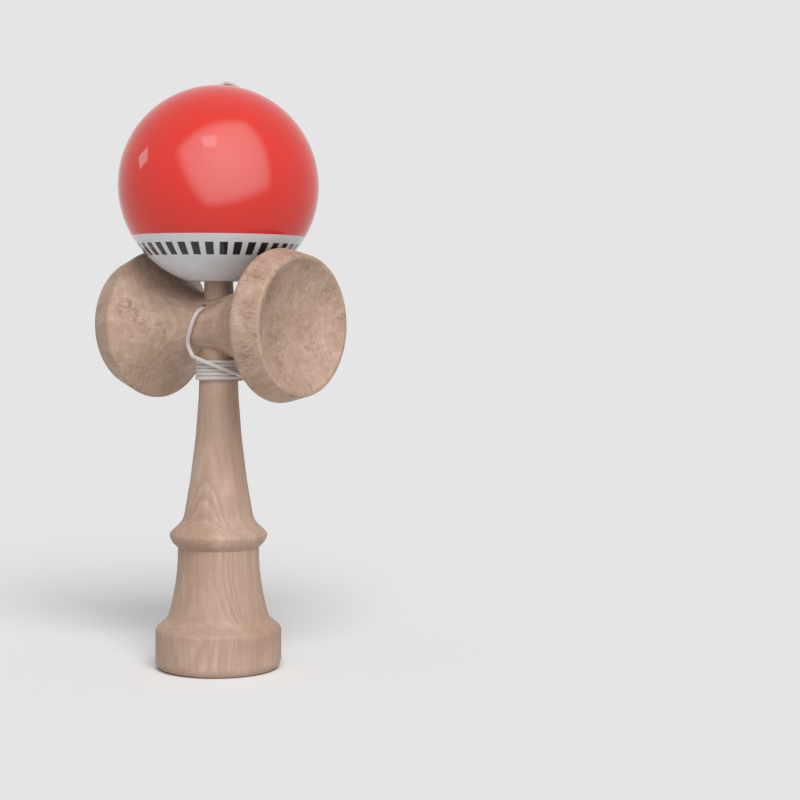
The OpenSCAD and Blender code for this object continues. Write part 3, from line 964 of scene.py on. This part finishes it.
class KENDAMA_OT_string(bpy.types.Operator):
    """Makes the string: its two knots, its loop and winding, and its run to the ball"""

    bl_idname = "kendama.string"
    bl_label = "String"

    def execute(self, context):
        settings = context.scene.kendama
        string = settings.string
        nylon = braided_nylon(string)
        wound = wound_points(string, ken_outline(settings.wood.edge))
        knot_mid = (END_KNOT_LOW + END_KNOT_HIGH) / 2
        end_knot = self.knot("knot_in_ball", knot_mid, 0, string)
        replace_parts(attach(end_knot, "string_end"), "end_knot")
        anchor_mid = (ANCHOR_LOW + ANCHOR_HIGH) / 2
        anchor_knot = self.knot("knot_in_handle", anchor_mid, math.pi / 2, string)
        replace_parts(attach(anchor_knot, "ken"), "anchor_knot")

        # The loop hangs free down to the first point on the handle, and bends evenly
        loop = length_of(wound[:len(LOOP_POINTS) + 2])
        wound_path = relaxed(spaced(smooth_route(wound), RING_STEP), round(loop / RING_STEP))
        winding = braid("string_wound", wound_path, string.diameter, string.pick)
        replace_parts(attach(winding, "ken"), "string_loop", "string_winding")

        risen = [wound[-1], *(Vector(p) * MM for p in RISER_POINTS)]
        risen += [*(Vector((0, 0, z * MM)) for z in TAIL_HEIGHTS), knot_mid]
        riser_path = spaced(smooth_route(risen), RING_STEP)
        riser = braid("string_riser_run", riser_path, string.diameter, string.pick)
        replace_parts(riser, "string_riser", "string_tail")
        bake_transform(riser)
        for piece in (end_knot, anchor_knot, winding, riser):
            piece.data.materials.append(nylon)
        return {"FINISHED"}

    def knot(self, name, middle, turn, string):
        """A knot about its middle, turned by that angle about the X axis."""
        low, high = END_KNOT_LOW, END_KNOT_HIGH
        thickness = KNOT_PULL * string.diameter
        points = knot_points(high.x - low.x - thickness, high.z - low.z - thickness)
        made = braid(name, spaced(points, RING_STEP), thickness, string.pick)
        made.data.transform(Matrix.Translation(middle) @ Matrix.Rotation(turn, 4, "X"))
        return made


class KENDAMA_OT_bead(bpy.types.Operator):
    """Makes the stained bead that holds the string inside the ball"""

    bl_idname = "kendama.bead"
    bl_label = "Bead"

    def execute(self, context):
        wood = context.scene.kendama.wood
        radius = BEAD_HIGH.x
        middle = (BEAD_LOW.z + BEAD_HIGH.z) / 2
        half = math.sqrt(radius ** 2 - HOLE_R ** 2)
        low, high = (HOLE_R, middle - half), (HOLE_R, middle + half)
        bead = lathe("bead_turned", outline([
            (*low, wood.edge / 2, -bow(low, high, radius + ON_AXIS)),
            (*high, wood.edge / 2, 0),
        ], closed=True), closed=True)
        polish(bead, bare_beech(
            "stained_beech", wood.bead_light, wood.bead_dark, wood.fleck, turn=GRAIN_UP,
            pith=(0, 12 * MM, 0), lean=0, ring_width=0.9 * MM, ring_share=0.8, ray_share=0.3, speck=0,
            figure=20 * MM))
        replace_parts(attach(bead, "string_end"), "bead")
        return {"FINISHED"}


class KENDAMA_OT_ken(bpy.types.Operator):
    """Makes the turned handle: base, ring, handle and spike"""

    bl_idname = "kendama.ken"
    bl_label = "Handle"

    def execute(self, context):
        wood = context.scene.kendama.wood
        ken = lathe("ken_turned", ken_outline(wood.edge))
        cut(ken, [string_drill(), knot_drill()])
        # The pith lies behind the front of the handle, so the rings arch there and run straight at the sides
        pith = Vector((-0.26, 0.97, 0)) * 28 * MM
        polish(ken, bare_beech(
            "bare_beech_upright", wood.light, wood.dark, wood.fleck, turn=GRAIN_UP, pith=pith,
            lean=0.045, ring_width=0.8 * MM, ring_share=0.52, ray_share=0.05, speck=0, figure=70 * MM))
        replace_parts(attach(ken, "ken"), "ken")
        return {"FINISHED"}


class KENDAMA_OT_sarado(bpy.types.Operator):
    """Makes the turned cross-piece with its two cups"""

    bl_idname = "kendama.sarado"
    bl_label = "Cross-piece"

    def execute(self, context):
        wood = context.scene.kendama.wood
        sarado = lathe("sarado_turned", sarado_outline(wood.edge))
        sarado.data.transform(
            Matrix.Translation((0, 0, SARADO_Z)) @ Matrix.Rotation(math.radians(90), 4, "Y"))
        cut(sarado, [string_drill(), shank_drill()])
        # The grain runs from cup to cup, and the pith lies far behind
        pith = (-SARADO_Z, 70 * MM, 0)
        polish(sarado, bare_beech(
            "bare_beech_level", wood.light, wood.dark, wood.fleck, turn=GRAIN_ALONG_X, pith=pith,
            lean=0.03, ring_width=1.6 * MM, ring_share=0.35, ray_share=0.08, speck=0.65, figure=16 * MM))
        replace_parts(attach(sarado, "ken"), "sarado")
        return {"FINISHED"}


def share_cards(ball):
    """Shows the tinted cards to the ball alone, and the plain card to everything but the ball."""
    for lamp in bpy.data.objects:
        if lamp.type == "LIGHT" and lamp.data.type == "AREA":
            lit = bpy.data.collections.new(lamp.name)
            lit.objects.link(ball)
            state = "EXCLUDE" if lamp.name == PLAIN_CARD else "INCLUDE"
            lit.collection_objects[0].light_linking.link_state = state
            lamp.light_linking.receiver_collection = lit


class KENDAMA_OT_tama(bpy.types.Operator):
    """Makes the lacquered ball with its bare spike hole"""

    bl_idname = "kendama.tama"
    bl_label = "Ball"

    def execute(self, context):
        settings = context.scene.kendama
        wood = settings.wood
        tama = lathe("tama_lacquered", tama_outline(wood.edge), closed=True)
        bore_wood = bare_beech(
            "bare_beech_bore", wood.light, wood.dark, wood.fleck, turn=GRAIN_UP, pith=(0, 40 * MM, 0),
            lean=0, ring_width=1.2 * MM, ring_share=0.6, ray_share=0.2, speck=0, figure=40 * MM)
        polish(tama, gloss_lacquer(settings.lacquer), bore_wood)
        # The coats stop inside the bevelled edges
        for face in tama.data.polygons:
            middle = face.center
            below_top = middle.z < TAMA_HIGH.z - TOP_CHAMFER
            above_mouth = middle.z > MOUTH_Z + MOUTH_R - BORE_R
            if below_top and above_mouth and math.hypot(middle.x, middle.y) < BORE_R + ON_AXIS:
                face.material_index = 1
        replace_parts(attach(tama, "tama"), "tama")
        share_cards(tama)
        return {"FINISHED"}


class KENDAMA_PT_sidebar(bpy.types.Panel):
    """Lists the steps and settings of the kendama"""

    bl_idname = "KENDAMA_PT_sidebar"
    bl_label = "Kendama"
    bl_space_type = "VIEW_3D"
    bl_region_type = "UI"
    bl_category = "Kendama"

    def draw(self, context):
        for step in OPERATORS:
            self.layout.operator(step.bl_idname)
        settings = context.scene.kendama
        for group in (settings.stage, settings.string, settings.wood, settings.lacquer):
            box = self.layout.box()
            for name in group.__annotations__:
                box.prop(group, name)


GROUPS = (KendamaString, KendamaWood, KendamaLacquer, KendamaStage, KendamaSettings)
OPERATORS = (KENDAMA_OT_stage, KENDAMA_OT_string, KENDAMA_OT_bead, KENDAMA_OT_ken, KENDAMA_OT_sarado,
             KENDAMA_OT_tama)
CLASSES = (*GROUPS, *OPERATORS, KENDAMA_PT_sidebar)


def register():
    for made in CLASSES:
        bpy.utils.register_class(made)
    bpy.types.Scene.kendama = bpy.props.PointerProperty(type=KendamaSettings)


def unregister():
    del bpy.types.Scene.kendama
    for made in reversed(CLASSES):
        bpy.utils.unregister_class(made)


def main():
    """Makes the stage and every piece in order."""
    register()
    bpy.ops.kendama.stage()
    bpy.ops.kendama.string()
    bpy.ops.kendama.bead()
    bpy.ops.kendama.ken()
    bpy.ops.kendama.sarado()
    bpy.ops.kendama.tama()


if __name__ == "__main__":
    main()
